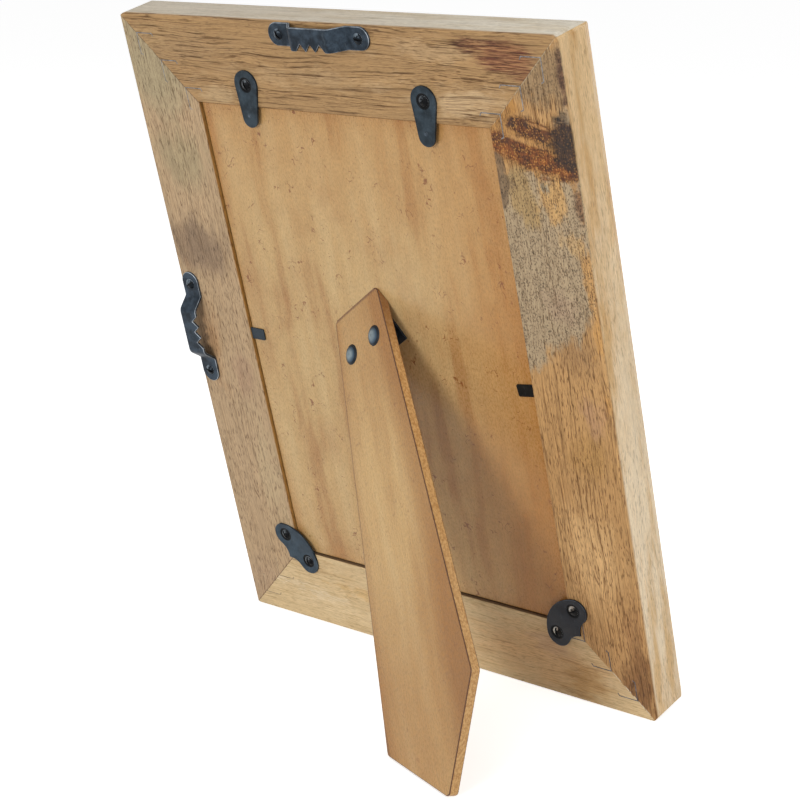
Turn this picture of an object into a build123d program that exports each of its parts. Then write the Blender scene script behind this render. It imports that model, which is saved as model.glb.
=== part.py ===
# Wooden photo frame for one upright print, standing on its bottom rail and on a hinged easel leg.
# Lengths are millimetres and angles degrees. The floor is Z = 0, the front faces -Y and the back +Y.
# The X axis is the line on which the bottom rail's rear edge rests on the floor.
import os
from math import cos, hypot, radians, sin, sqrt, tan

from build123d import *

os.makedirs("parts", exist_ok=True)

# Print, glass and backing
print_width = 127.0
print_height = 178.0
print_play = 1.5
insert_thickness = 0.8
glass_thickness = 2.0
board_thickness = 3.0
board_play = 0.5
board_recess = 1.4

# Rails
rail_face = 31.0
rail_depth = 21.8
lip_width = 5.0
front_round = 9.0
sight_round = 1.0
back_round = 1.0
rebate_round = 0.4
corner_round = 2.5

# How the frame stands: its lean when upright, and when turned on its right side
lean = 13.9
side_lean = 9.8

# Corner nails
nail_count = 3
nail_first = 7.0
nail_pitch = 9.5
nail_arm = 7.5
nail_hook = 1.2
nail_hook_angle = 60.0
nail_thickness = 0.35
nail_depth = 10.0

# Easel leg
leg_top_width = 28.9
leg_flare = 5.3
leg_thickness = 3.5
leg_corner_round = 2.0
leg_opening = 31.2
leg_turn = 36.1
leg_head_left = 9.6
leg_head_up = 20.2

# Leg hinge
hinge_length = 23.5
leaf_width = 8.5
leaf_thickness = 0.7
knuckle_count = 5
knuckle_radius = 1.2
knuckle_gap = 0.2
pin_radius = 0.6
pin_end = 0.3
running_gap = 0.3
pin_clearance = 0.05

# Rivets through the leg and through the board
rivet_spacing = 15.5
rivet_drop = 4.4
rivet_radius = 1.5
rivet_clearance = 0.05
rivet_head_radius = 3.65
rivet_head_height = 1.3
rivet_tail_radius = 2.1
rivet_tail_height = 0.5
flush_head_radius = 2.75
flush_head_height = 0.8

# Wood screws
screw_head_radius = 2.0
screw_head_height = 1.2
screw_radius = 1.2
screw_length = 9.0
screw_point = 2.0
screw_clearance = 0.05
plate_hole_clearance = 0.2

# Turn buttons
button_spacing = 79.0
button_shift = 0.7
button_left_inset = 8.0
button_right_inset = 7.4
button_eye_radius = 5.1
button_tip_radius = 3.3
button_reach = 12.1
button_thickness = 0.8
button_tilt = 5.3
button_clearance = 0.1
button_head_gap = 0.05
dimple_radius = 0.8
dimple_depth = 0.3
dimple_reach = 11.0

# Corner plates
plate_thickness = 0.8
plate_left_inset = -0.3
plate_right_inset = 1.2
plate_rise = 1.2
plate_right_turn = 6.0
plate_span = 14.4
plate_screw_span = 13.6
plate_screw_set_in = 0.8
plate_lobe_radius = 4.7
plate_bulge_radius = 15.1
plate_point_reach = 6.6
plate_scallop_radius = 6.5

# Sawtooth hangers
hanger_length = 44.5
hanger_width = 7.9
hanger_thickness = 0.9
hanger_rise = 5.3
hanger_bridge = 16.8
hanger_slope = 4.0
hanger_bend = 1.8
top_hanger_inset = 4.2
top_hanger_left = 0.3
side_hanger_inset = 5.3
side_hanger_up = 0.8
hanger_screw_inset = 4.6
tooth_notches = 3
tooth_pitch = 4.3
tooth_depth = 2.6

# Flex points
flex_width = 4.4
flex_left_reach = 6.4
flex_right_reach = 7.3
flex_depth = 8.0
flex_thickness = 0.6
flex_round = 0.6
flex_left_up = 1.4
flex_right_up = -0.5
flex_right_tilt = 8.0

# Sizes that follow from those above
opening_width = print_width + 2 * print_play
opening_height = print_height + 2 * print_play
frame_width = opening_width + 2 * rail_face
frame_height = opening_height + 2 * rail_face
half_width = frame_width / 2
half_height = frame_height / 2
insert_depth = board_recess + board_thickness
glass_depth = insert_depth + insert_thickness
rebate_depth = glass_depth + glass_thickness
screw_hole_radius = screw_radius + plate_hole_clearance
pin_height = knuckle_radius + running_gap

# The back face of the rails: x to the right seen from behind, y up the frame, z out of the back.
# Its origin is the rear bottom corner before rounding, set so that the rounded edge rests on the X axis.
lean_sin = sin(radians(lean))
lean_cos = cos(radians(lean))
back = Plane(
    origin=(0, back_round * (lean_cos - lean_sin), -back_round * (lean_cos + lean_sin - 1)),
    x_dir=(-1, 0, 0),
    z_dir=(0, lean_cos, -lean_sin),
)


def on_back(x, y, height=0.0):
    """Plane parallel to the back face at x and y, raised by height."""
    return Plane(origin=back.from_local_coords((x, y, height)), x_dir=back.x_dir, z_dir=back.z_dir)


def shifted(seat, x, y, height=0.0):
    """The given plane moved to x, y and height in its own directions."""
    return Plane(origin=seat.from_local_coords((x, y, height)), x_dir=seat.x_dir, z_dir=seat.z_dir)


def half_section(seat):
    """Plane through the axis of a turned piece on seat: x is its radius, y runs along its axis."""
    return Plane(origin=seat.origin, x_dir=seat.x_dir, z_dir=-seat.y_dir)


def dome_point(radius, height):
    """Point half way along the flank of a round dome with this base radius and height."""
    ball = (radius**2 + height**2) / (2 * height)
    half_chord = hypot(radius, height) / 2
    bulge = ball - sqrt(ball**2 - half_chord**2)
    return Vector(radius / 2, height / 2) + Vector(height, radius).normalized() * bulge


# Wood screws: where they stand, how they are turned and the holes that they need
rebate_top = frame_height - rail_face
button_seats = {
    "left": on_back(button_shift - button_spacing / 2, rebate_top + button_left_inset),
    "right": on_back(button_shift + button_spacing / 2, rebate_top + button_right_inset),
}
top_hanger_seat = on_back(-top_hanger_left, frame_height - top_hanger_inset)
side_hanger_seat = Plane(
    origin=back.from_local_coords((side_hanger_inset - half_width, half_height + side_hanger_up, 0)),
    x_dir=back.y_dir,
    z_dir=back.z_dir,
)
hanger_hole_reach = hanger_length / 2 - hanger_screw_inset


def hanger_screw_seats(seat):
    """Tops of the two ears of a hanger, where its screw heads sit."""
    return [shifted(seat, end * hanger_hole_reach, 0, hanger_thickness) for end in (-1, 1)]


def plate_seat(side, inset, turn=0.0):
    """Plane of a corner plate on the back: x runs from lobe to lobe and y out over the mitre."""
    mitre = (back.x_dir * side - back.y_dir).normalized()
    outward = mitre * cos(radians(turn)) + back.z_dir.cross(mitre) * sin(radians(turn))
    centre = back.from_local_coords((side * (opening_width / 2 - inset), rail_face + plate_rise, 0))
    return Plane(origin=centre, x_dir=outward.cross(back.z_dir), z_dir=back.z_dir)


def plate_screw_seats(seat):
    """Top of a corner plate at its two screws."""
    reach = plate_screw_span / 2
    return [shifted(seat, x, -plate_screw_set_in, plate_thickness) for x in (-reach, reach)]


button_screw_seats = [seat.offset(button_thickness + button_head_gap) for seat in button_seats.values()]
top_hanger_screw_seats = hanger_screw_seats(top_hanger_seat)
side_hanger_screw_seats = hanger_screw_seats(side_hanger_seat)
left_plate_seat = plate_seat(-1, plate_left_inset)
right_plate_seat = plate_seat(1, plate_right_inset, plate_right_turn)
left_plate_low_screw, left_plate_high_screw = plate_screw_seats(left_plate_seat)
right_plate_high_screw, right_plate_low_screw = plate_screw_seats(right_plate_seat)


def turn_screw(seat):
    """Round-headed wood screw with its head on seat and its shank below."""
    with BuildSketch(half_section(seat)) as section:
        with BuildLine():
            ThreePointArc(
                (screw_head_radius, 0),
                dome_point(screw_head_radius, screw_head_height),
                (0, screw_head_height),
            )
            Polyline(
                (0, screw_head_height),
                (0, -screw_length),
                (screw_radius, screw_point - screw_length),
                (screw_radius, 0),
                (screw_head_radius, 0),
            )
        make_face()
    revolve(section.sketch, axis=Axis(seat.origin, seat.z_dir))


def drill_screws(seats):
    """Pilot holes for the screws on the given seats."""
    for seat in seats:
        with BuildSketch(seat) as hole:
            Circle(screw_radius + screw_clearance)
        extrude(hole.sketch, amount=-screw_length, mode=Mode.SUBTRACT)


# Corner nails: V-shaped strips across each mitre, flush with the back
def draw_nails(side_x, side_y):
    """Nails of one corner, with their points towards the outer corner and the tips of their arms turned."""
    hook_along = nail_hook * cos(radians(nail_hook_angle))
    hook_across = nail_hook * sin(radians(nail_hook_angle))
    for index in range(nail_count):
        step = nail_first + index * nail_pitch
        x = side_x * (half_width - step)
        y = half_height + side_y * (half_height - step)
        end_x = x - side_x * nail_arm
        end_y = y - side_y * nail_arm
        with BuildLine() as strip:
            Polyline(
                (end_x - side_x * hook_along, y - side_y * hook_across),
                (end_x, y),
                (x, y),
                (x, end_y),
                (x - side_x * hook_across, end_y - side_y * hook_along),
            )
        trace(strip.wire(), nail_thickness)


def drive_nails(side_x, side_y, mode=Mode.ADD):
    """The nails of one corner, or with subtraction the kerfs that they press into a rail."""
    with BuildSketch(back) as strips:
        draw_nails(side_x, side_y)
    extrude(strips.sketch, amount=-nail_depth, mode=mode)


# Flex points: strips driven into the side rails, with a tab that lies on the board
def flex_seat(side, up, tilt=0.0):
    """Plane on the board at the foot of a side rail, with x into the rail."""
    inward = back.x_dir * cos(radians(tilt)) + back.y_dir * sin(radians(tilt))
    foot = back.from_local_coords((side * opening_width / 2, half_height + up, -board_recess))
    return Plane(origin=foot, x_dir=inward * side, z_dir=back.z_dir)


def press_flex(seat, reach, mode=Mode.ADD):
    """One flex point, or with subtraction the slot that it presses into its rail."""
    with BuildSketch(seat) as strip:
        with Locations(((flex_depth - reach) / 2, 0)):
            Rectangle(flex_depth + reach, flex_width)
        fillet(vertices().sort_by(Axis.X)[:2], flex_round)
    extrude(strip.sketch, amount=flex_thickness, mode=mode)


left_flex = (flex_seat(-1, flex_left_up), flex_left_reach)
right_flex = (flex_seat(1, flex_right_up, flex_right_tilt), flex_right_reach)


# Rails: one moulding with a rebate at the back and a round front edge, mitred at both ends,
# with the outer corners sanded round
def run_rail(seat, length):
    """Rail along the z axis of seat, whose x axis points into the frame and y axis out of the back."""
    with BuildSketch(seat) as profile:
        with BuildLine():
            Polyline(
                (0, 0),
                (rail_face, 0),
                (rail_face, -rebate_depth),
                (rail_face + lip_width, -rebate_depth),
                (rail_face + lip_width, -rail_depth),
                (0, -rail_depth),
                close=True,
            )
        make_face()
        fillet(vertices().group_by(Axis.X)[0].sort_by(Axis.Y)[0], front_round)
        fillet(vertices().group_by(Axis.X)[0].sort_by(Axis.Y)[-1], back_round)
        fillet(vertices().group_by(Axis.X)[-1].sort_by(Axis.Y)[0], sight_round)
        fillet(vertices().group_by(Axis.Y)[-1].sort_by(Axis.X)[-1], rebate_round)
    extrude(profile.sketch, amount=length / 2, both=True)
    for end in (-1, 1):
        corner = seat.origin + seat.z_dir * (end * length / 2)
        split(bisect_by=Plane(origin=corner, z_dir=seat.x_dir + seat.z_dir * end), keep=Keep.BOTTOM)
    with BuildSketch(back) as outline:
        with Locations((0, half_height)):
            RectangleRounded(frame_width, frame_height, corner_round)
    extrude(outline.sketch, amount=-rail_depth, mode=Mode.INTERSECT)


def rail_seat(x, y, inward):
    """Plane across a rail at the middle of its outer rear edge."""
    return Plane(
        origin=back.from_local_coords((x, y, 0)),
        x_dir=inward,
        z_dir=inward.cross(back.z_dir),
    )


with BuildPart() as top_rail:
    run_rail(rail_seat(0, frame_height, -back.y_dir), frame_width)
    drive_nails(-1, 1, Mode.SUBTRACT)
    drive_nails(1, 1, Mode.SUBTRACT)
    drill_screws(button_screw_seats)
    drill_screws(top_hanger_screw_seats)

with BuildPart() as bottom_rail:
    run_rail(rail_seat(0, 0, back.y_dir), frame_width)
    drive_nails(-1, -1, Mode.SUBTRACT)
    drive_nails(1, -1, Mode.SUBTRACT)
    drill_screws([left_plate_low_screw, right_plate_low_screw])

with BuildPart() as left_rail:
    run_rail(rail_seat(-half_width, half_height, back.x_dir), frame_height)
    drive_nails(-1, 1, Mode.SUBTRACT)
    drive_nails(-1, -1, Mode.SUBTRACT)
    drill_screws(side_hanger_screw_seats)
    drill_screws([left_plate_high_screw])
    press_flex(*left_flex, mode=Mode.SUBTRACT)

with BuildPart() as right_rail:
    run_rail(rail_seat(half_width, half_height, -back.x_dir), frame_height)
    drive_nails(1, 1, Mode.SUBTRACT)
    drive_nails(1, -1, Mode.SUBTRACT)
    drill_screws([right_plate_high_screw])
    press_flex(*right_flex, mode=Mode.SUBTRACT)

with BuildPart() as corner_nails_top_left:
    drive_nails(-1, 1)

with BuildPart() as corner_nails_top_right:
    drive_nails(1, 1)

with BuildPart() as corner_nails_bottom_left:
    drive_nails(-1, -1)

with BuildPart() as corner_nails_bottom_right:
    drive_nails(1, -1)

with BuildPart() as flex_point_left:
    press_flex(*left_flex)

with BuildPart() as flex_point_right:
    press_flex(*right_flex)

# Glass and the blank card insert behind it
with BuildPart() as glass_pane:
    with BuildSketch(on_back(0, half_height, -glass_depth)):
        Rectangle(print_width, print_height)
    extrude(amount=-glass_thickness)

with BuildPart() as photo_insert:
    with BuildSketch(on_back(0, half_height, -insert_depth)):
        Rectangle(print_width, print_height)
    extrude(amount=-insert_thickness)

# Leg and hinge directions: the leg's top edge slants across the board, and its end rests on the board
turn_sin = sin(radians(leg_turn))
turn_cos = cos(radians(leg_turn))
opening_sin = sin(radians(leg_opening))
opening_cos = cos(radians(leg_opening))
along_hinge = back.x_dir * turn_cos + back.y_dir * turn_sin
up_board = back.y_dir * turn_cos - back.x_dir * turn_sin
leg_out = back.z_dir * opening_cos + up_board * opening_sin
leg_head = back.from_local_coords((-leg_head_left, half_height + leg_head_up, -board_recess))
board_seat = Plane(origin=leg_head, x_dir=along_hinge, z_dir=back.z_dir)
leg_face = Plane(origin=leg_head, x_dir=along_hinge, z_dir=leg_out)

# The pin stands the same height off the board and off the leg's inner face
pin_drop = (leg_thickness + pin_height + pin_height * opening_cos) / opening_sin
board_leaf_seat = shifted(board_seat, 0, -pin_drop)
pin_centre = board_leaf_seat.from_local_coords((0, 0, pin_height))
leg_leaf_seat = Plane(origin=pin_centre + leg_out * pin_height, x_dir=-along_hinge, z_dir=-leg_out)
leg_rivet_drop = pin_drop * opening_cos + pin_height * opening_sin + rivet_drop
knuckle_pitch = hinge_length / knuckle_count
rivet_sides = (-rivet_spacing / 2, rivet_spacing / 2)
rivet_hole_radius = rivet_radius + rivet_clearance
leg_rivet_seats = [shifted(leg_face, x, -leg_rivet_drop) for x in rivet_sides]
board_rivet_seats = [shifted(board_leaf_seat, x, -rivet_drop, leaf_thickness) for x in rivet_sides]

with BuildPart() as backing_board:
    with BuildSketch(on_back(0, half_height, -board_recess)):
        Rectangle(opening_width - 2 * board_play, opening_height - 2 * board_play)
    extrude(amount=-board_thickness)
    for seat in board_rivet_seats:
        front_hole = Plane(
            origin=seat.origin - back.z_dir * (leaf_thickness + board_thickness), z_dir=-back.z_dir
        )
        with Locations(front_hole):
            CounterBoreHole(rivet_hole_radius, flush_head_radius + rivet_clearance, flush_head_height)

# Easel leg: a tapered board with two foot edges, one for each way that the frame can stand
upright_floor = Plane.XY
side_floor = Plane(
    origin=back.from_local_coords((half_width, 0, 0)),
    z_dir=-back.x_dir * cos(radians(side_lean)) - back.z_dir * sin(radians(side_lean)),
)


def foot_cut(floor):
    """Plane square to the leg through the line where its inner face meets a floor."""
    inner = leg_face.offset(-leg_thickness)
    up_leg = floor.z_dir - leg_out * floor.z_dir.dot(leg_out)
    fall = (floor.origin - inner.origin).dot(floor.z_dir) / up_leg.dot(floor.z_dir)
    return Plane(origin=inner.origin + up_leg * fall, z_dir=up_leg)


with BuildPart() as easel_leg:
    blank_length = frame_height
    blank_half = leg_top_width / 2 + blank_length * tan(radians(leg_flare))
    with BuildSketch(leg_face):
        with BuildLine():
            Polyline(
                (-leg_top_width / 2, 0),
                (leg_top_width / 2, 0),
                (blank_half, -blank_length),
                (-blank_half, -blank_length),
                close=True,
            )
        make_face()
    extrude(amount=-leg_thickness)
    split(bisect_by=foot_cut(upright_floor), keep=Keep.TOP)
    split(bisect_by=foot_cut(side_floor), keep=Keep.TOP)
    fillet(edges().filter_by(Axis(leg_head, leg_out)), leg_corner_round)
    split(bisect_by=board_seat, keep=Keep.TOP)
    for seat in leg_rivet_seats:
        with BuildSketch(seat):
            Circle(rivet_hole_radius)
        extrude(amount=-leg_thickness, mode=Mode.SUBTRACT)


# Butt hinge between board and leg
def lay_leaf(seat, first):
    """Leaf lying on seat below the pin, with every second knuckle from first wrapped round the pin."""
    with BuildSketch(seat) as flat:
        with Locations((0, -(pin_height + leaf_width) / 2)):
            Rectangle(hinge_length, leaf_width - pin_height)
    extrude(flat.sketch, amount=leaf_thickness)
    for index in range(first, knuckle_count, 2):
        start = index * knuckle_pitch + knuckle_gap / 2 - hinge_length / 2
        section = Plane(
            origin=seat.from_local_coords((start, 0, pin_height)), x_dir=seat.y_dir, z_dir=seat.x_dir
        )
        with BuildSketch(section) as knuckle:
            Circle(knuckle_radius)
            with Locations((-pin_height / 2, leaf_thickness / 2 - pin_height)):
                Rectangle(pin_height, leaf_thickness)
        extrude(knuckle.sketch, amount=knuckle_pitch - knuckle_gap)
    across = Plane(origin=pin_centre, x_dir=seat.y_dir, z_dir=seat.x_dir)
    with BuildSketch(across) as bore:
        Circle(pin_radius + pin_clearance)
    extrude(bore.sketch, amount=hinge_length, both=True, mode=Mode.SUBTRACT)
    for x in rivet_sides:
        with BuildSketch(shifted(seat, x, -rivet_drop)) as hole:
            Circle(rivet_hole_radius)
        extrude(hole.sketch, amount=leaf_thickness, mode=Mode.SUBTRACT)


with BuildPart() as hinge_board_leaf:
    lay_leaf(board_leaf_seat, 0)

with BuildPart() as hinge_leg_leaf:
    lay_leaf(leg_leaf_seat, 1)

with BuildPart() as hinge_pin:
    with BuildSketch(Plane(origin=pin_centre, z_dir=along_hinge)):
        Circle(pin_radius)
    extrude(amount=hinge_length / 2 + pin_end, both=True)

with BuildPart() as leg_rivets:
    grip = leg_thickness + leaf_thickness
    for seat in leg_rivet_seats:
        with BuildSketch(half_section(seat)):
            with BuildLine():
                ThreePointArc(
                    (rivet_head_radius, 0),
                    dome_point(rivet_head_radius, rivet_head_height),
                    (0, rivet_head_height),
                )
                Polyline(
                    (0, rivet_head_height),
                    (0, -grip - rivet_tail_height),
                    (rivet_tail_radius, -grip - rivet_tail_height),
                    (rivet_tail_radius, -grip),
                    (rivet_radius, -grip),
                    (rivet_radius, 0),
                    (rivet_head_radius, 0),
                )
            make_face()
        revolve(axis=Axis(seat.origin, seat.z_dir))

with BuildPart() as board_rivets:
    grip = leaf_thickness + board_thickness
    for seat in board_rivet_seats:
        with BuildSketch(half_section(seat)):
            with BuildLine():
                Polyline(
                    (0, rivet_tail_height),
                    (0, -grip),
                    (flush_head_radius, -grip),
                    (flush_head_radius, flush_head_height - grip),
                    (rivet_radius, flush_head_height - grip),
                    (rivet_radius, 0),
                    (rivet_tail_radius, 0),
                    (rivet_tail_radius, rivet_tail_height),
                    close=True,
                )
            make_face()
        revolve(axis=Axis(seat.origin, seat.z_dir))


# Turn buttons: pear-shaped plates that swing over the edge of the board
def cut_button(seat):
    """Turn button flat on seat with its eye at the origin and its tip hanging down."""
    tilt = radians(button_tilt)
    hanging = Plane(
        origin=seat.origin,
        x_dir=seat.x_dir * cos(tilt) - seat.y_dir * sin(tilt),
        z_dir=seat.z_dir,
    )
    with BuildSketch(hanging) as pear:
        Circle(button_eye_radius)
        with Locations((0, -button_reach)):
            Circle(button_tip_radius)
        make_hull()
        Circle(screw_radius + button_clearance, mode=Mode.SUBTRACT)
    extrude(pear.sketch, amount=button_thickness)
    with BuildSketch(shifted(hanging, 0, -dimple_reach, button_thickness)) as dimple:
        Circle(dimple_radius)
    extrude(dimple.sketch, amount=-dimple_depth, mode=Mode.SUBTRACT)


with BuildPart() as turn_button_left:
    cut_button(button_seats["left"])

with BuildPart() as turn_button_right:
    cut_button(button_seats["right"])

with BuildPart() as turn_button_screws:
    for seat in button_screw_seats:
        turn_screw(seat)


# Corner plates: kidney-shaped, with two lobes, a round inner side and a point between two scallops
def cut_corner_plate(seat):
    """Plate on seat over one lower corner of the board, with its point towards y."""
    half_span = plate_span / 2
    hole_reach = plate_screw_span / 2
    bulge_gap = plate_bulge_radius - plate_lobe_radius
    bulge_up = sqrt(bulge_gap**2 - half_span**2)
    bulge_touch_x = half_span * plate_bulge_radius / bulge_gap
    bulge_touch_y = bulge_up - bulge_up * plate_bulge_radius / bulge_gap
    # Each scallop is an arc through the point that touches the lobe beside it from outside
    scallop_gap = plate_scallop_radius + plate_lobe_radius
    lobe_to_point = hypot(half_span, plate_point_reach)
    along = (scallop_gap**2 - plate_scallop_radius**2 + lobe_to_point**2) / (2 * lobe_to_point)
    aside = sqrt(scallop_gap**2 - along**2)
    scallop_x = half_span + (aside * plate_point_reach - along * half_span) / lobe_to_point
    scallop_y = (along * plate_point_reach + aside * half_span) / lobe_to_point
    scallop_touch_x = half_span + (scallop_x - half_span) * plate_lobe_radius / scallop_gap
    scallop_touch_y = scallop_y * plate_lobe_radius / scallop_gap
    with BuildSketch(seat) as kidney:
        with BuildLine():
            ThreePointArc(
                (-bulge_touch_x, bulge_touch_y),
                (0, bulge_up - plate_bulge_radius),
                (bulge_touch_x, bulge_touch_y),
            )
            ThreePointArc(
                (bulge_touch_x, bulge_touch_y),
                (half_span + plate_lobe_radius, 0),
                (scallop_touch_x, scallop_touch_y),
            )
            RadiusArc((scallop_touch_x, scallop_touch_y), (0, plate_point_reach), plate_scallop_radius)
            RadiusArc((0, plate_point_reach), (-scallop_touch_x, scallop_touch_y), plate_scallop_radius)
            ThreePointArc(
                (-scallop_touch_x, scallop_touch_y),
                (-half_span - plate_lobe_radius, 0),
                (-bulge_touch_x, bulge_touch_y),
            )
        make_face()
        with Locations((-hole_reach, -plate_screw_set_in), (hole_reach, -plate_screw_set_in)):
            Circle(screw_hole_radius, mode=Mode.SUBTRACT)
    extrude(kidney.sketch, amount=plate_thickness)


with BuildPart() as corner_plate_left:
    cut_corner_plate(left_plate_seat)

with BuildPart() as corner_plate_right:
    cut_corner_plate(right_plate_seat)

with BuildPart() as corner_plate_screws:
    for seat in plate_screw_seats(left_plate_seat) + plate_screw_seats(right_plate_seat):
        turn_screw(seat)


# Sawtooth hangers: a strip bent up into a bridge, with notches along one edge of the bridge
def bend_hanger(seat):
    """Hanger on seat, its length along x and its teeth towards -y."""
    half_length = hanger_length / 2
    half_bridge = hanger_bridge / 2
    foot = half_bridge + hanger_slope
    top = hanger_rise - hanger_thickness
    with BuildSketch(half_section(seat)) as strip:
        with BuildLine():
            FilletPolyline(
                (-half_length, 0),
                (-foot, 0),
                (-half_bridge, top),
                (half_bridge, top),
                (foot, 0),
                (half_length, 0),
                radius=hanger_bend,
            )
            offset(amount=hanger_thickness, side=Side.LEFT)
        make_face()
    extrude(strip.sketch, amount=hanger_width / 2, both=True)
    with BuildSketch(seat) as plan:
        SlotOverall(hanger_length, hanger_width)
        with Locations((-hanger_hole_reach, 0), (hanger_hole_reach, 0)):
            Circle(screw_hole_radius, mode=Mode.SUBTRACT)
        for index in range(tooth_notches):
            x = (index - (tooth_notches - 1) / 2) * tooth_pitch
            with BuildLine():
                Polyline(
                    (x - tooth_pitch / 2, -hanger_width / 2),
                    (x + tooth_pitch / 2, -hanger_width / 2),
                    (x, tooth_depth - hanger_width / 2),
                    close=True,
                )
            make_face(mode=Mode.SUBTRACT)
    extrude(plan.sketch, amount=hanger_rise, mode=Mode.INTERSECT)


with BuildPart() as top_hanger:
    bend_hanger(top_hanger_seat)

with BuildPart() as side_hanger:
    bend_hanger(side_hanger_seat)

with BuildPart() as hanger_screws:
    for seat in top_hanger_screw_seats + side_hanger_screw_seats:
        turn_screw(seat)

# Every piece under its own name
pieces = {
    "top_rail": top_rail,
    "bottom_rail": bottom_rail,
    "left_rail": left_rail,
    "right_rail": right_rail,
    "corner_nails_top_left": corner_nails_top_left,
    "corner_nails_top_right": corner_nails_top_right,
    "corner_nails_bottom_left": corner_nails_bottom_left,
    "corner_nails_bottom_right": corner_nails_bottom_right,
    "glass_pane": glass_pane,
    "photo_insert": photo_insert,
    "backing_board": backing_board,
    "flex_point_left": flex_point_left,
    "flex_point_right": flex_point_right,
    "easel_leg": easel_leg,
    "leg_rivets": leg_rivets,
    "hinge_board_leaf": hinge_board_leaf,
    "hinge_leg_leaf": hinge_leg_leaf,
    "hinge_pin": hinge_pin,
    "board_rivets": board_rivets,
    "turn_button_left": turn_button_left,
    "turn_button_right": turn_button_right,
    "turn_button_screws": turn_button_screws,
    "corner_plate_left": corner_plate_left,
    "corner_plate_right": corner_plate_right,
    "corner_plate_screws": corner_plate_screws,
    "top_hanger": top_hanger,
    "side_hanger": side_hanger,
    "hanger_screws": hanger_screws,
}
for name, piece in pieces.items():
    piece.part.label = name
    export_step(piece.part, f"parts/{name}.step")
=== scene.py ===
# Easel back photo frame, seen from behind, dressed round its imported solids
from math import acos, asin, cos, hypot, pi, radians, sin, sqrt

import bmesh
import bpy
from mathutils import Matrix, Vector


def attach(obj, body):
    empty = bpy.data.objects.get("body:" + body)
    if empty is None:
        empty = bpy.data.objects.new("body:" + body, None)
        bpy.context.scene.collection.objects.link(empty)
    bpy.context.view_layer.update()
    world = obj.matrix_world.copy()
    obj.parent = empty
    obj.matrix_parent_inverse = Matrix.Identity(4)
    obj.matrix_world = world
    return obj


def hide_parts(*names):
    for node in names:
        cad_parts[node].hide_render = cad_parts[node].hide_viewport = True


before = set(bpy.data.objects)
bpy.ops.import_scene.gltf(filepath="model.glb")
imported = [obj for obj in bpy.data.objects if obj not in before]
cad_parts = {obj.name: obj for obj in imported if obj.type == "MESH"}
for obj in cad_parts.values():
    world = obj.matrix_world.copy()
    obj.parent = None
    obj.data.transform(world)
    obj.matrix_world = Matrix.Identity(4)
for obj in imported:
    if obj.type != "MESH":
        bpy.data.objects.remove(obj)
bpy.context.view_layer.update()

mm = 0.001

# Rails
# Four lengths of one hardwood moulding, mitred and glued, with a rebate at the back for glass and board.
# The timber is raw: pale sapwood, brown heartwood streaks, open pores, and stains where it began to spalt.
frame_width = 192 * mm
frame_height = 243 * mm
rail_face = 31 * mm
back_round = 1 * mm
lean = radians(13.9)
back_right = Vector((-1, 0, 0))
back_up = Vector((0, sin(lean), cos(lean)))
back_out = Vector((0, cos(lean), -sin(lean)))
back_foot = Vector((0, back_round * (cos(lean) - sin(lean)), -back_round * (cos(lean) + sin(lean) - 1)))
half_width = frame_width / 2
inner_edge = half_width - rail_face
mitre_ease = 0.12 * mm
merge_gap = 0.001 * mm
flat_angle = 0.5
sharp_angle = 35


def on_back(x, y, height=0.0):
    """Point on the back, x right of the middle, y up from the foot and height out of the rails' back face."""
    return back_foot + back_right * x + back_up * y + back_out * height


def tone(red, green, blue):
    """A colour as it looks on screen, 0 to 255 a channel, as a shader takes it."""
    return (*(((c / 255 + 0.055) / 1.055) ** 2.4 for c in (red, green, blue)), 1.0)


def node(tree, kind, inputs, **options):
    """One shader node. Each input is a plain value, or the output that feeds it."""
    made = tree.nodes.new("ShaderNode" + kind)
    for name, value in options.items():
        setattr(made, name, value)
    for name, value in inputs.items():
        if isinstance(value, bpy.types.NodeSocket):
            tree.links.new(value, made.inputs[name])
        else:
            made.inputs[name].default_value = value
    return made


def mix(tree, share, below, above, how="MIX"):
    """Colour above laid over colour below by share."""
    made = node(tree, "Mix", {0: share, 6: below, 7: above}, data_type="RGBA", blend_type=how)
    return made.outputs[2]


def maths(tree, how, first, second=0.0):
    return node(tree, "Math", {0: first, 1: second}, operation=how).outputs[0]


def times(tree, first, second):
    return maths(tree, "MULTIPLY", first, second)


def plus(tree, first, second):
    return maths(tree, "ADD", first, second)


def larger(tree, first, second):
    return maths(tree, "MAXIMUM", first, second)


def apart(tree, first, second=0.0):
    """How far two values are apart, or a value from nought."""
    return maths(tree, "ABSOLUTE", maths(tree, "SUBTRACT", first, second))


def all_but(tree, mask, share):
    """One, less a share of a mask."""
    return maths(tree, "SUBTRACT", 1.0, times(tree, mask, share))


def shaded(tree, colour, shade):
    """A colour made darker or lighter by a factor."""
    return node(tree, "VectorMath", {0: colour, "Scale": shade}, operation="SCALE").outputs[0]


def rise(tree, value, low, high, top=1.0):
    """A smooth step from 0 where value is low to top where it is high."""
    inputs = {"Value": value, "From Min": low, "From Max": high, "To Max": top}
    return node(tree, "MapRange", inputs, interpolation_type="SMOOTHSTEP").outputs[0]


def spread(tree, value, low, high):
    """A noise value, mostly from 0.3 to 0.7, spread from low to high."""
    inputs = {"Value": value, "From Min": 0.3, "From Max": 0.7, "To Min": low, "To Max": high}
    return node(tree, "MapRange", inputs).outputs[0]


def stretched(tree, place, stretch, shift):
    return node(tree, "VectorMath", {0: place, 1: stretch, 2: shift}, operation="MULTIPLY_ADD").outputs[0]


def noise(tree, place, stretch, detail=2.0, rough=0.55, shift=(0, 0, 0)):
    """Noise whose lumps per millimetre along the three directions of place are stretch."""
    spot = stretched(tree, place, stretch, shift)
    inputs = {"Vector": spot, "Scale": 1.0, "Detail": detail, "Roughness": rough}
    return node(tree, "TexNoise", inputs).outputs


def cloud(tree, place, stretch, *finer):
    return noise(tree, place, stretch, *finer)["Fac"]


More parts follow.
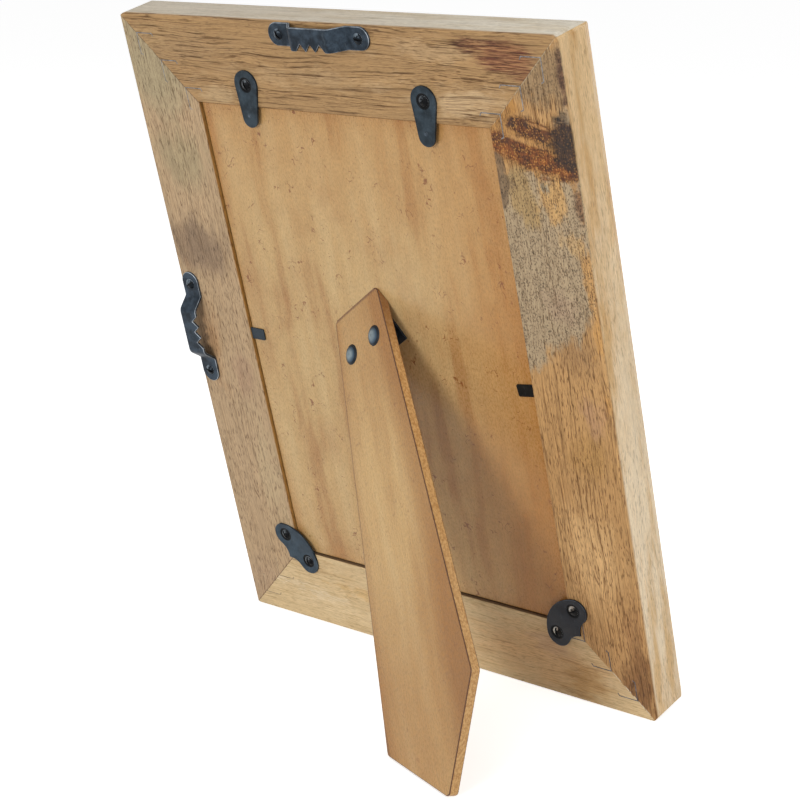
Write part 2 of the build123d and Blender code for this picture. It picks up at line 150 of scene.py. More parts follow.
def wander(tree, place, stretch, reach):
    """A place moved about by a colour noise, at most half of reach in each direction."""
    colours = noise(tree, place, stretch)["Color"]
    sway = node(tree, "VectorMath", {0: colours, 1: (0.5, 0.5, 0.5)}, operation="SUBTRACT").outputs[0]
    return stretched(tree, sway, reach, place)


def cells(tree, place, stretch, shift=(0, 0, 0)):
    """How far a point is from the middle of its cell, with stretch cells per millimetre."""
    spot = stretched(tree, place, stretch, shift)
    return node(tree, "TexVoronoi", {"Vector": spot, "Scale": 1.0}, feature="F1").outputs["Distance"]


def new_group(name, inputs, outputs):
    """An empty node group with the named sockets, and its input and output nodes."""
    tree = bpy.data.node_groups.new(name, "ShaderNodeTree")
    for in_out, kinds in (("INPUT", inputs), ("OUTPUT", outputs)):
        for kind, sockets in kinds.items():
            for socket in sockets:
                tree.interface.new_socket(socket, in_out=in_out, socket_type="NodeSocket" + kind)
    return tree, tree.nodes.new("NodeGroupInput").outputs, tree.nodes.new("NodeGroupOutput").inputs


def use_group(tree, group, inputs):
    """One use of a node group, with its own values."""
    return node(tree, "Group", inputs, node_tree=group).outputs


def new_material(name):
    """A material with nodes, and its empty tree."""
    material = bpy.data.materials.new(name)
    material.use_nodes = True
    material.node_tree.nodes.clear()
    return material, material.node_tree


def bumped(tree, height, strength, distance):
    """The surface's direction, made uneven by a height."""
    return node(tree, "Bump", {"Height": height, "Strength": strength, "Distance": distance}).outputs[0]


def finish_surface(tree, inputs):
    """The material's one surface shader."""
    shader = node(tree, "BsdfPrincipled", inputs)
    node(tree, "OutputMaterial", {"Surface": shader.outputs[0]})


def flat_place(tree, origin, along, across):
    """Millimetres from origin: first along, then across, then square to both."""
    turn = Matrix((along, across, along.cross(across))).transposed().to_euler()
    spot = node(tree, "TexCoord", {}).outputs["Object"]
    inputs = {"Vector": spot, "Location": origin, "Rotation": turn, "Scale": (mm, mm, mm)}
    return node(tree, "Mapping", inputs, vector_type="TEXTURE").outputs[0]


def set_in_place(
    name, stands_for, bm, body, slot, materials, ease, segments=2, eased=(sharp_angle, 180), clamp=True
):
    """A shape that stands for a node. Edges between the eased angles are rounded, in the last material."""
    weight = bm.edges.layers.float.new("bevel_weight_edge")
    for edge in bm.edges:
        if edge.is_manifold and radians(eased[0]) < edge.calc_face_angle() < radians(eased[1]):
            edge[weight] = 1.0
    mesh = bpy.data.meshes.new(name)
    bm.to_mesh(mesh)
    bm.free()
    mesh.shade_smooth()
    mesh.set_sharp_from_angle(angle=radians(sharp_angle))
    for material in materials:
        mesh.materials.append(material)
    piece = bpy.data.objects.new(name, mesh)
    bpy.context.scene.collection.objects.link(piece)
    bevel = piece.modifiers.new("eased", "BEVEL")
    bevel.width = ease
    bevel.segments = segments
    bevel.limit_method = "WEIGHT"
    bevel.harden_normals = True
    bevel.use_clamp_overlap = clamp
    bevel.material = len(materials) - 1
    closed = piece.modifiers.new("closed", "WELD")
    closed.mode = "CONNECTED"
    closed.merge_threshold = merge_gap
    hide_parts(stands_for)
    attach(piece, body)


def eased_copy(name, body, slot, materials, ease, shrunk=0.0, **easing):
    """A node's own shape, with its sharp edges eased and all its corners drawn in by shrunk."""
    bm = bmesh.new()
    bm.from_mesh(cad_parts[name].data)
    for face in bm.faces:
        face.material_index = 0
    bmesh.ops.remove_doubles(bm, verts=bm.verts, dist=merge_gap)
    bmesh.ops.dissolve_limit(bm, angle_limit=radians(flat_angle), verts=bm.verts, edges=bm.edges)
    for vert in bm.verts:
        vert.co -= vert.normal * shrunk
    set_in_place(name + "_eased", name, bm, body, slot, materials, ease, **easing)


# The grain of the timber: wandering bands, dark lines, pores as short dashes, small flecks, and fine fibre
timber, given, made = new_group(
    "timber_grain",
    {
        "Vector": ["Place"],
        "Color": ["Ground", "Streak", "Pore", "Fleck"],
        "Float": ["Streaks", "Pores", "Flecks"],
    },
    {"Color": ["Color"], "Float": ["Height", "Figure"]},
)
tree = timber
place = wander(tree, given["Place"], (0.011, 0.04, 0.04), (0, 8, 8))
place = wander(tree, place, (0.06, 0.22, 0.22), (0, 0.9, 0.9))
band = cloud(tree, place, (0.007, 0.16, 0.16), 3.0)
figure = cloud(tree, place, (0.022, 1.5, 1.5), 3.0, 0.6)
line = cloud(tree, place, (0.055, 3.4, 3.4), 2.0, 0.55, (5, 3, 7))
dash = cloud(tree, place, (0.34, 2.5, 2.5), 1.0, 0.5, (11, 2, 9))
crowd = cloud(tree, place, (0.04, 0.12, 0.12), 2.0, 0.5, (4, 1, 6))
fibre = cloud(tree, place, (0.35, 6.5, 6.5), 2.0, 0.6)
crooked = wander(tree, place, (0.5, 0.9, 0.9), (0.8, 0.5, 0.5))
speck = cells(tree, crooked, (1.1, 1.6, 1.6))
torn = cloud(tree, place, (0.3, 0.6, 0.6), 3.0, 0.6, (2, 9, 4))
fleck = times(tree, rise(tree, speck, 0.56, 0.16), rise(tree, torn, 0.26, 0.46))
banded = times(tree, rise(tree, line, 0.5, 0.68), rise(tree, band, 0.34, 0.6))
streak = plus(tree, rise(tree, figure, 0.52, 0.7, 0.85), banded)
pore = times(tree, rise(tree, dash, 0.55, 0.66), rise(tree, crowd, 0.26, 0.52))
colour = given["Ground"]
for mask, amount, ink in ((streak, "Streaks", "Streak"), (pore, "Pores", "Pore"), (fleck, "Flecks", "Fleck")):
    colour = mix(tree, times(tree, mask, given[amount]), colour, given[ink], "MULTIPLY")
shade = times(tree, spread(tree, fibre, 0.86, 1.1), spread(tree, band, 0.92, 1.07))
glow = times(tree, spread(tree, figure, 0.2, -0.1), given["Streaks"])
shade = times(tree, shade, plus(tree, 1.0, glow))
tree.links.new(shaded(tree, colour, shade), made["Color"])
tree.links.new(maths(tree, "SUBTRACT", times(tree, fibre, 0.5), larger(tree, pore, fleck)), made["Height"])
tree.links.new(streak, made["Figure"])


def oval(tree, place, ragged, along, across, half_long, half_wide, turn, soft, share):
    """Share of a ragged oval stain: its middle and half sizes in mm, turn in degrees and softness."""
    stain_depth = 2.0
    inputs = {
        "Vector": place,
        "Location": (along, across, 0),
        "Rotation": (0, 0, radians(turn)),
        "Scale": (half_long, half_wide, stain_depth),
    }
    inside = node(tree, "Mapping", inputs, vector_type="TEXTURE").outputs[0]
    reach = node(tree, "VectorMath", {0: inside}, operation="LENGTH").outputs["Value"]
    rags = maths(tree, "DIVIDE", ragged, min(half_long, half_wide))
    return rise(tree, plus(tree, reach, rags), 1.0, 1.0 - soft, share)


def dress_rail(
    name, origin, along, across, outer, ground, flanks, wall, streaks, pores, flecks, spots,
    burns=(), scars=(), comb=None, seams=(),
):
    """One rail in raw timber, in mm along and across its back. Streaks, pores, flecks: colour and amount.

    Spots of colour and netting, rusty burns and scars are ovals. A seam is a glue line on a mitre: the end of
    the rail, where the line starts and stops in from the outer edge, its width, colour and share.
    """
    wall_start = rail_face / mm - 0.6
    wall_full = rail_face / mm - 0.1
    seam_fade = 2
    lit_dot = (198, 142, 72)
    material, tree = new_material(name + "_timber")
    place = flat_place(tree, origin, along, across)
    parts = node(tree, "SeparateXYZ", {0: place}).outputs
    inward = apart(tree, parts["Y"], outer)
    depth = apart(tree, parts["Z"])
    wide = cloud(tree, place, (0.07, 0.16, 0.16), 4.0, 0.65, (3, 8, 1))
    ragged = spread(tree, wide, -4.0, 4.0)
    body = tone(*ground)
    netted = flecks[1]
    for *shape, colour, netting in spots:
        mask = oval(tree, place, ragged, *shape)
        body = mix(tree, mask, body, tone(*colour))
        if netting:
            netted = larger(tree, netted, times(tree, mask, netting))
    if burns:
        combed = spread(tree, cloud(tree, place, comb, 5.0, 0.65, (6, 2, 3)), -1.7, 1.7)
        clear = cloud(tree, place, (0.3, 0.3, 0.3), 2.0, 0.5, (9, 4, 4))
        dots = rise(tree, cells(tree, place, (1.25, 1.4, 1.4), (1, 5, 2)), 0.52, 0.2)
        dots = times(tree, dots, rise(tree, clear, 0.3, 0.5, 0.85))
        for *shape, deep, bright, lit in burns:
            rust = mix(tree, rise(tree, combed, 0.9, -0.9), tone(*bright), tone(*deep))
            rust = mix(tree, times(tree, dots, lit), rust, tone(*lit_dot))
            body = mix(tree, oval(tree, place, combed, *shape), body, rust)
        torn = times(tree, combed, 0.35)
        for *shape, colour in scars:
            body = mix(tree, oval(tree, place, torn, *shape), body, tone(*colour))
    off_back = rise(tree, depth, 0.5, 1.8)
    near, far, golden = flanks
    drift = plus(tree, parts["X"], spread(tree, wide, -40, 40))
    flank = mix(tree, rise(tree, drift, 60, 230), tone(*near), tone(*far))
    mottle = cloud(tree, place, (0.02, 0.15, 0.15), 4.0, 0.65, (7, 1, 2))
    flank = mix(tree, rise(tree, mottle, 0.44, 0.66), flank, tone(*golden), "MULTIPLY")
    body = mix(tree, off_back, body, flank)
    # The wall tone on the rebate's inner wall is partly the timber's colour and partly painted shade of the
    # recess, darkest on the bottom rail above the board's gap.
    inside = times(tree, rise(tree, inward, wall_start, wall_full), rise(tree, depth, 0.15, 0.5, 0.9))
    body = mix(tree, inside, body, tone(*wall))
    for end, first, last, width, colour, share in seams:
        off = apart(tree, apart(tree, parts["X"], end), inward)
        starts = rise(tree, inward, first - seam_fade, first)
        reach = times(tree, starts, rise(tree, inward, last + seam_fade, last))
        broken = rise(tree, cloud(tree, place, (0.5, 0.5, 0.5), 2.0, 0.5, (8, 8, 1)), 0.35, 0.5, share)
        line = times(tree, rise(tree, off, width, width * 0.4), times(tree, reach, broken))
        body = mix(tree, line, body, tone(*colour))
    calm = times(tree, all_but(tree, off_back, 0.8), all_but(tree, netted, 0.5))
    clean = all_but(tree, off_back, 0.5)
    inputs = {
        "Place": place,
        "Ground": body,
        "Streak": tone(*streaks[0]),
        "Streaks": times(tree, calm, streaks[1]),
        "Pore": tone(*pores[0]),
        "Pores": times(tree, clean, pores[1]),
        "Fleck": tone(*flecks[0]),
        "Flecks": times(tree, clean, netted),
    }
    grain = use_group(tree, timber, inputs)
    dull = node(tree, "MapRange", {"Value": grain["Figure"], "To Min": 0.58, "To Max": 0.74}).outputs[0]
    surface = {"Base Color": grain["Color"], "Roughness": dull, "Specular IOR Level": 0.35}
    finish_surface(tree, {**surface, "Normal": bumped(tree, grain["Height"], 0.3, 0.12 * mm)})
    eased_copy(name, "frame", "rail_wood", [material], mitre_ease)


dress_rail(
    "top_rail",
    on_back(-half_width, frame_height - rail_face),
    back_right,
    back_up,
    outer=31,
    ground=(167, 132, 88),
    flanks=[(206, 194, 174), (224, 215, 197), (238, 230, 216)],
    wall=(150, 112, 70),
    streaks=((138, 119, 98), 1.0),
    pores=((176, 166, 154), 0.4),
    flecks=((165, 160, 155), 0.0),
    spots=[
        (90, 12, 60, 5, 0, 0.9, 0.6, (184, 152, 110), 0.0),
        (24, 20, 44, 9, 0, 0.9, 0.7, (158, 128, 90), 0.0),
        (140, 24, 30, 5, 0, 0.9, 0.5, (188, 158, 118), 0.0),
        (150, 8, 30, 6, 0, 0.9, 0.7, (200, 171, 131), 0.0),
        (14, 24, 16, 6, 0, 0.9, 0.4, (180, 148, 102), 0.0),
        (42, 4, 14, 5, 0, 0.9, 0.6, (188, 160, 120), 0.0),
    ],
    burns=[
        (171, 23.5, 14, 6.5, 0, 0.45, 1.0, (98, 54, 34), (160, 114, 74), 0.0),
        (160, 26.5, 10, 3, 0, 0.7, 0.9, (96, 54, 34), (156, 112, 72), 0.0),
        (179, 18, 9, 4, 0, 0.7, 0.9, (98, 56, 36), (156, 112, 72), 0.0),
    ],
    comb=(0.1, 1.5, 0.2),
)
dress_rail(
    "right_rail",
    on_back(inner_edge, 0),
    back_up,
    back_right,
    outer=31,
    ground=(190, 148, 96),
    flanks=[(240, 219, 186), (221, 188, 140), (232, 213, 182)],
    wall=(150, 112, 70),
    streaks=((172, 156, 140), 1.0),
    pores=((164, 150, 136), 0.9),
    flecks=((165, 162, 160), 0.1),
    spots=[
        (101, 19, 11, 12, 25, 0.8, 0.65, (180, 138, 80), 0.5),
        (118, 24, 9, 6, 0, 0.8, 0.5, (182, 142, 112), 0.0),
        (138, 20, 11, 13, 0, 0.8, 0.65, (156, 120, 80), 0.4),
        (62, 14, 30, 16, 0, 0.8, 0.85, (216, 177, 124), 0.0),
        (34, 26, 20, 7, 0, 0.9, 0.5, (156, 112, 68), 0.0),
        (12, 26, 24, 11, 0, 0.8, 0.85, (122, 82, 42), 0.0),
        (158.5, -1.9, 28, 300, -39.8, 0.16, 1.0, (176, 154, 122), 1.0),
        (154, 17, 8, 9, 0, 0.9, 0.4, (166, 136, 114), 0.0),
        (160, 31, 36, 3.2, 0, 0.9, 0.8, (202, 152, 88), 0.3),
        (176, 26, 5, 6, 0, 0.8, 0.7, (202, 166, 114), 0.5),
        (231, 20, 14, 24, 0, 0.5, 0.95, (154, 127, 92), 0.7),
        (219, 10, 4, 9, -45, 0.7, 0.9, (180, 130, 68), 0.2),
        (207, 16, 10.5, 30, 12, 0.25, 1.0, (178, 132, 76), 0.6),
        (190.5, 9, 12.5, 8.5, 0, 0.5, 0.9, (174, 144, 96), 1.0),
        (190.5, 20.5, 9, 8, 0, 0.5, 0.9, (200, 158, 100), 0.6),
        (191.5, 1, 13, 3.8, 0, 0.5, 0.85, (118, 96, 72), 0.4),
        (194, 19, 3, 1.8, 0, 0.8, 0.7, (150, 146, 128), 0.6),
    ],
    burns=[
        (204, 15, 5.0, 26, 14, 0.35, 0.97, (80, 41, 20), (138, 78, 34), 0.9),
        (208, 2, 5, 7, 0, 0.5, 0.95, (84, 46, 22), (142, 82, 36), 0.8),
        (213, 16, 4.4, 13, 10, 0.4, 0.97, (52, 28, 20), (108, 60, 28), 0.8),
        (209.5, 29.5, 10.5, 8.5, 0, 0.4, 0.98, (32, 23, 20), (58, 38, 28), 0.25),
        (230, 32, 15, 3.8, 0, 0.6, 0.92, (68, 44, 34), (112, 78, 56), 0.1),
        (190, 32, 11, 4.8, 0, 0.7, 0.85, (92, 60, 40), (134, 92, 58), 0.3),
        (197, 18.5, 2.2, 4.5, 6, 0.7, 0.85, (84, 50, 28), (140, 90, 50), 0.5),
    ],
    scars=[
        (208.8, 13, 1.2, 9, 13, 0.8, 0.9, (194, 146, 90)),
        (214, 19.5, 0.9, 5.5, 16, 0.8, 0.85, (190, 140, 86)),
        (217, 8, 1.4, 5, -40, 0.8, 0.7, (186, 136, 74)),
    ],
    comb=(0.3, 0.14, 0.2),
    seams=[(243, 2, 28, 0.5, (196, 182, 152), 0.7), (0, 3, 16, 0.9, (226, 212, 184), 0.9)],
)
dress_rail(
    "left_rail",
    on_back(-half_width, 0),
    back_up,
    back_right,
    outer=0,
    ground=(184, 156, 121),
    flanks=[(196, 166, 128), (190, 164, 130), (244, 232, 212)],
    wall=(168, 121, 54),
    streaks=((200, 192, 184), 0.65),
    pores=((168, 157, 147), 0.85),
    flecks=((150, 128, 104), 0.0),
    spots=[
        (226, 12, 26, 22, 0, 0.6, 0.8, (168, 154, 121), 0.25),
        (190, 16, 16, 18, 0, 0.8, 0.7, (161, 146, 112), 0.15),
        (156, 14, 15, 20, 0, 0.7, 0.85, (134, 111, 88), 0.2),
        (118, 8, 28, 9, 0, 0.9, 0.6, (182, 138, 94), 0.0),
        (104, 22, 12, 9, 0, 0.9, 0.5, (168, 132, 106), 0.2),
        (60, 24, 40, 8, 0, 0.9, 0.5, (196, 174, 136), 0.0),
        (12, 8, 16, 14, 0, 0.7, 0.5, (176, 148, 120), 0.1),
    ],
    seams=[(0, 0, 31, 0.5, (104, 74, 46), 0.85), (243, 0, 31, 0.5, (112, 84, 56), 0.75)],
)
dress_rail(
    "bottom_rail",
    on_back(-half_width, 0),
    back_right,
    back_up,
    outer=0,
    ground=(212, 187, 144),
    flanks=[(206, 178, 136), (196, 164, 122), (244, 232, 212)],
    wall=(84, 60, 38),
    streaks=((192, 170, 142), 0.45),
    pores=((190, 178, 164), 0.4),
    flecks=((160, 140, 116), 0.0),
    spots=[
        (145, 14, 46, 18, 0, 0.8, 0.85, (208, 170, 122), 0.0),
        (152, 20, 12, 6, 0, 0.8, 0.4, (180, 150, 126), 0.0),
        (164, 8, 14, 10, 0, 0.9, 0.75, (176, 135, 78), 0.0),
        (64, 17, 26, 3, -6, 0.9, 0.6, (204, 168, 112), 0.0),
        (32, 14, 24, 3, -6, 0.9, 0.6, (228, 210, 178), 0.0),
        (50, 8, 40, 5, 0, 0.9, 0.6, (222, 200, 160), 0.0),
        (40, 24, 34, 5, 0, 0.9, 0.4, (194, 160, 112), 0.0),
    ],
)

# Corner nails
# Three bent strips of thin steel driven across each mitre from the back, until they lie flush with the wood.
# Those at the lower left are filled over and rubbed down with the timber, so they hardly show.
nail_ease = 0.05 * mm


def back_place(tree):
    """Millimetres on the back: to the right, up and out, from the middle of its foot."""
    return flat_place(tree, on_back(0, 0), back_right, back_up)


def nail_steel(name, dark, bright, sheen):
    """Strip steel with a dull skin and spots where it was rubbed bright."""
    material, tree = new_material(name)
    rubbed = cloud(tree, back_place(tree), (0.5, 0.5, 0.5), 3.0, 0.6)
    skin = mix(tree, rise(tree, rubbed, 0.4, 0.62), tone(*dark), tone(*bright))
    dull = spread(tree, rubbed, 0.6, 0.42)
    finish_surface(tree, {"Base Color": skin, "Metallic": sheen, "Roughness": dull})
    return material


strip_steel = nail_steel("strip_steel", (104, 102, 100), (148, 147, 146), 0.4)
dull_steel = nail_steel("dull_strip_steel", (62, 64, 70), (108, 110, 116), 0.3)
filled_steel = nail_steel("filled_steel", (150, 128, 98), (176, 152, 118), 0.0)
for corner, material in (
    ("top_left", strip_steel),
    ("top_right", strip_steel),
    ("bottom_left", filled_steel),
    ("bottom_right", dull_steel),
):
    eased_copy("corner_nails_" + corner, "frame", "nail_steel", [material], nail_ease, segments=1)

# Glass
# One pane of clear float glass in the bottom of the rebate, its cut edges lightly seamed.
# It lies on the lip of the rails, pressed there by the card and the board.
glass_ease = 0.2 * mm
clear_glass, tree = new_material("clear_glass")
smear = cloud(tree, back_place(tree), (0.03, 0.012, 0.03), 4.0, 0.6)
film = mix(tree, rise(tree, smear, 0.45, 0.7), tone(253, 254, 253), tone(249, 252, 250))
surface = {"Base Color": film, "Roughness": spread(tree, smear, 0.01, 0.05)}
finish_surface(tree, {**surface, "IOR": 1.5, "Transmission Weight": 1.0})
eased_copy("glass_pane", "frame", "glass", [clear_glass], glass_ease)

# Photo insert
# A blank sheet of card behind the glass, where the print goes. Its surface shows the fibres of the pulp.
# It is cut with a blade and lies loose between glass and board.
card_ease = 0.05 * mm
card_gap = 0.04 * mm
blank_card, tree = new_material("blank_card")
place = back_place(tree)
pulp = cloud(tree, place, (1.2, 1.2, 1.2), 4.0, 0.6)
paper = mix(tree, rise(tree, pulp, 0.35, 0.65), tone(228, 225, 217), tone(240, 238, 232))
yellowed = cloud(tree, place, (0.03, 0.03, 0.03), 2.0)
paper = mix(tree, rise(tree, yellowed, 0.4, 0.7, 0.4), paper, tone(232, 226, 212))
uneven = bumped(tree, pulp, 0.15, 0.05 * mm)
finish_surface(tree, {"Base Color": paper, "Roughness": spread(tree, pulp, 0.86, 0.94), "Normal": uneven})
eased_copy("photo_insert", "frame", "card", [blank_card], card_ease, card_gap, segments=1)

# Backing board
# A sheet of fibreboard wiped with a golden stain, which closes the rebate and carries the hinge of the leg.
# The stain lies in faint upright bands, darker along the edges, over flecks and curled fibres of bark. The
# thin dark line against the rebate's walls is painted shade, and the redder tone right of the leg is partly
# painted shade and bounce light.
board_depth = 1.4 * mm
board_ease = 0.25 * mm
fibreboard, given, made = new_group(
    "fibreboard",
    {
        "Vector": ["Place"],
        "Color": ["Ground", "Warm", "Wiped", "Pale"],
        "Float": ["Warmth", "Blotch", "Bark", "Brushing"],
    },
    {"Color": ["Color"], "Float": ["Height"]},
)
tree = fibreboard
bark_tone = (122, 66, 34)
place = given["Place"]
bent = wander(tree, place, (0.02, 0.02, 0.02), (8, 8, 8))
band = cloud(tree, bent, (0.011, 0.1, 0.1), 3.0, 0.55, (2, 7, 3))
patch = cloud(tree, place, (0.03, 0.04, 0.04), 4.0, 0.6, (8, 1, 5))
wiped = plus(tree, rise(tree, band, 0.5, 0.67, 0.75), rise(tree, patch, 0.46, 0.75, 0.5))
colour = mix(tree, rise(tree, band, 0.52, 0.32, 0.65), given["Ground"], given["Pale"])
colour = mix(tree, times(tree, wiped, given["Blotch"]), colour, given["Wiped"])
colour = mix(tree, maths(tree, "MINIMUM", given["Warmth"], 1.0), colour, given["Warm"])
grain = cloud(tree, place, (0.8, 1.6, 1.6), 4.0, 0.65)
speck = cloud(tree, place, (2.4, 3.4, 3.4), 2.0, 0.6, (1, 3, 3))
shade = times(tree, spread(tree, grain, 0.87, 1.11), spread(tree, speck, 0.94, 1.05))
brushed = cloud(tree, place, (0.07, 2.6, 2.6), 4.0, 0.65, (1, 6, 2))
brushed = times(tree, spread(tree, brushed, -1.0, 1.0), given["Brushing"])
mottled = cloud(tree, place, (0.2, 0.28, 0.28), 3.0, 0.65, (9, 3, 1))
mottled = times(tree, spread(tree, mottled, -0.075, 0.075), given["Bark"])
shade = times(tree, shade, plus(tree, 1.0, plus(tree, brushed, mottled)))
# Curled fibres lie where a slow noise crosses its middle value, and only here and there
curl = cloud(tree, place, (0.3, 0.36, 0.3), 1.5, 0.5, (5, 5, 8))
gate = cloud(tree, place, (0.11, 0.11, 0.11), 3.0, 0.7, (3, 9, 2))
curled = times(tree, rise(tree, apart(tree, curl, 0.5), 0.032, 0.008), rise(tree, gate, 0.575, 0.65))
lying = cloud(tree, bent, (1.9, 0.7, 0.9), 1.0, 0.5, (2, 2, 7))
standing = cloud(tree, bent, (0.7, 1.9, 0.9), 1.0, 0.5, (6, 1, 3))
chips = rise(tree, larger(tree, lying, standing), 0.735, 0.8)
bark = times(tree, larger(tree, curled, chips), given["Bark"])
colour = mix(tree, bark, shaded(tree, colour, shade), tone(*bark_tone))
tree.links.new(colour, made["Color"])
tree.links.new(maths(tree, "SUBTRACT", grain, times(tree, bark, 0.25)), made["Height"])


def facing(tree, direction):
    """How squarely the surface faces a direction."""
    faced = node(tree, "TexCoord", {}).outputs["Normal"]
    return node(tree, "VectorMath", {0: faced, 1: direction}, operation="DOT_PRODUCT").outputs["Value"]


def pressed_fibre(
    name, origin, along, across, ground, warm, wiped, pale, sawn, scorch, blotch, bark, brushing,
    warmth, outline,
):
    """Stained fibreboard, its sawn edges scorched along a stretch. Warmth and outline are shares by place."""
    rim_stain_and_shade = (104, 66, 38)
    scorched = (112, 68, 36)
    material, tree = new_material(name)
    place = flat_place(tree, origin, along, across)
    parts = node(tree, "SeparateXYZ", {0: place}).outputs
    inputs = {
        "Place": place,
        "Ground": tone(*ground),
        "Warm": tone(*warm),
        "Wiped": tone(*wiped),
        "Pale": tone(*pale),
        "Warmth": warmth(tree, parts),
        "Blotch": blotch,
        "Bark": bark,
        "Brushing": brushing,
    }
    sheet = use_group(tree, fibreboard, inputs)
    # The outline takes the rim tone: stain along the leg's edges, painted shade in the gap round the board.
    faces = mix(tree, outline(tree, parts), sheet["Color"], tone(*rim_stain_and_shade))
    edge = rise(tree, apart(tree, facing(tree, along.cross(across))), 0.6, 0.3)
    crumbs = cloud(tree, place, (1.1, 1.1, 1.6), 3.0, 0.65, (4, 8, 2))
    rough_edge = mix(tree, rise(tree, crumbs, 0.38, 0.62), tone(*sawn[0]), tone(*sawn[1]))
    rough_edge = mix(tree, rise(tree, parts["X"], *scorch, 0.8), rough_edge, tone(*scorched))
    dull = rise(tree, sheet["Height"], 0.2, 0.8, 0.62)
    surface = {"Base Color": mix(tree, edge, faces, rough_edge), "Roughness": dull, "Specular IOR Level": 0.3}
    finish_surface(tree, {**surface, "Normal": bumped(tree, sheet["Height"], 0.2, 0.1 * mm)})
    return material


def board_rim(tree, parts, high, wide, share):
    """A rim on the board, fading in over high at its ends and over wide at its sides."""
    half_high = 90.5
    half_wide = 65.0
    ends = rise(tree, apart(tree, parts["X"]), half_high - high, half_high, share)
    return larger(tree, ends, rise(tree, apart(tree, parts["Y"]), half_wide - wide, half_wide, share))


def board_warmth_and_bounce(tree, parts):
    """More stain at both ends and close to the rebate's walls, and a redder tone to the right, partly stain
    and partly painted shade and bounce light beside the leg.
    """
    # Redder to the right and lower down: painted shade and warm bounce light in the leg's shadow, over the
    # stain.
    right = times(tree, rise(tree, parts["Y"], 16, 62, 0.46), plus(tree, 0.3, rise(tree, parts["X"], 80, 20)))
    ends = plus(tree, rise(tree, parts["X"], -20, -90, 0.1), rise(tree, parts["X"], 20, 90, 0.32))
    return plus(tree, plus(tree, right, ends), board_rim(tree, parts, 8, 7, 0.14))


def board_gap_shade(tree, parts):
    """The dark line of painted shade against the rebate's walls, in the gap round the board."""
    return board_rim(tree, parts, 1, 1, 0.5)


board_fibre = pressed_fibre(
    "board_fibre",
    on_back(0, frame_height / 2, -board_depth),
    back_up,
    back_right,
    ground=(193, 160, 110),
    warm=(173, 113, 46),
    wiped=(158, 111, 66),
    pale=(203, 175, 127),
    sawn=[(128, 88, 52), (176, 132, 84)],
    scorch=(80, 90),
    blotch=0.74,
    bark=0.85,
    brushing=0.04,
    warmth=board_warmth_and_bounce,
    outline=board_gap_shade,
)
eased_copy("backing_board", "frame", "fibreboard", [board_fibre], board_ease)

# Flex points
# Two soft strips of blackened steel driven into the side rails, bent down over the board to hold it.
# The left one has a blue cast, the right one is nearly black.
strip_ease = 0.12 * mm
blackened, given, made = new_group(
    "blackened_steel",
    {"Vector": ["Place"], "Color": ["Deep", "Dusty"]},
    {"Color": ["Color"], "Float": ["Roughness", "Height"]},
)
tree = blackened
scuffed = (110, 116, 122)
cast = cloud(tree, given["Place"], (0.22, 0.22, 0.22), 4.0, 0.6)
fine = cloud(tree, given["Place"], (3.0, 3.0, 3.0), 3.0, 0.6, (4, 2, 6))
scuff = cloud(tree, given["Place"], (1.6, 0.3, 1.0), 3.0, 0.7, (7, 7, 1))
skin = mix(tree, rise(tree, cast, 0.32, 0.68), given["Deep"], given["Dusty"])
skin = mix(tree, rise(tree, scuff, 0.6, 0.75, 0.25), skin, tone(*scuffed))
tree.links.new(shaded(tree, skin, spread(tree, fine, 0.85, 1.12)), made["Color"])
tree.links.new(spread(tree, cast, 0.4, 0.58), made["Roughness"])
tree.links.new(fine, made["Height"])


def black_steel(name, deep, dusty, sheen, texture=0.2, gloss=0.25):
    """Steel with a black oxide skin, deep where it is clean and paler where it is dusty."""
    material, tree = new_material(name)
    place = back_place(tree)
    skin = use_group(tree, blackened, {"Place": place, "Deep": tone(*deep), "Dusty": tone(*dusty)})
    uneven = bumped(tree, skin["Height"], texture, 0.05 * mm)
    surface = {"Base Color": skin["Color"], "Roughness": skin["Roughness"], "Normal": uneven}
    finish_surface(tree, {**surface, "Metallic": sheen, "Specular IOR Level": gloss})
    return material


blue_strip = black_steel("blue_strip_steel", (40, 48, 56), (54, 64, 72), 0.4)
black_strip = black_steel("black_strip_steel", (14, 14, 13), (26, 25, 22), 0.2, gloss=0.1)
eased_copy("flex_point_left", "frame", "black_steel", [blue_strip], strip_ease)
eased_copy("flex_point_right", "frame", "black_steel", [black_strip], strip_ease)

# Easel leg
# A tapered strut sawn from the same fibreboard, with a slanted head that stops against the board.
# Its foot has two edges, for the frame upright and on its side. The stain has gathered along the arrises.
leg_turn = radians(36.1)
leg_opening = radians(31.2)
leg_ease = 0.32 * mm
along_hinge = back_right * cos(leg_turn) + back_up * sin(leg_turn)
up_board = back_up * cos(leg_turn) - back_right * sin(leg_turn)
leg_out = back_out * cos(leg_opening) + up_board * sin(leg_opening)
up_leg = up_board * cos(leg_opening) - back_out * sin(leg_opening)
leg_head_aside = -9.6 * mm
leg_head_up = frame_height / 2 + 20.2 * mm
leg_head = on_back(leg_head_aside, leg_head_up, -board_depth)


def leg_half(tree, along):
    """Half the leg's width along it, from head to foot."""
    run = {"From Min": 0.0, "From Max": -140.0, "To Min": 14.45, "To Max": 27.44}
    return node(tree, "MapRange", {"Value": along, **run}).outputs[0]


def leg_warmth(tree, parts):
    """More stain along both of the leg's edges, at its head and at its foot."""
    side = maths(tree, "DIVIDE", parts["Y"], leg_half(tree, parts["X"]))
    sides = plus(tree, rise(tree, side, 0.2, 0.95, 0.8), rise(tree, side, -0.7, -1.0, 0.4))
    ends = plus(tree, rise(tree, parts["X"], -65, 0, 0.48), rise(tree, parts["X"], -70, -140, 0.52))
    return plus(tree, sides, ends)


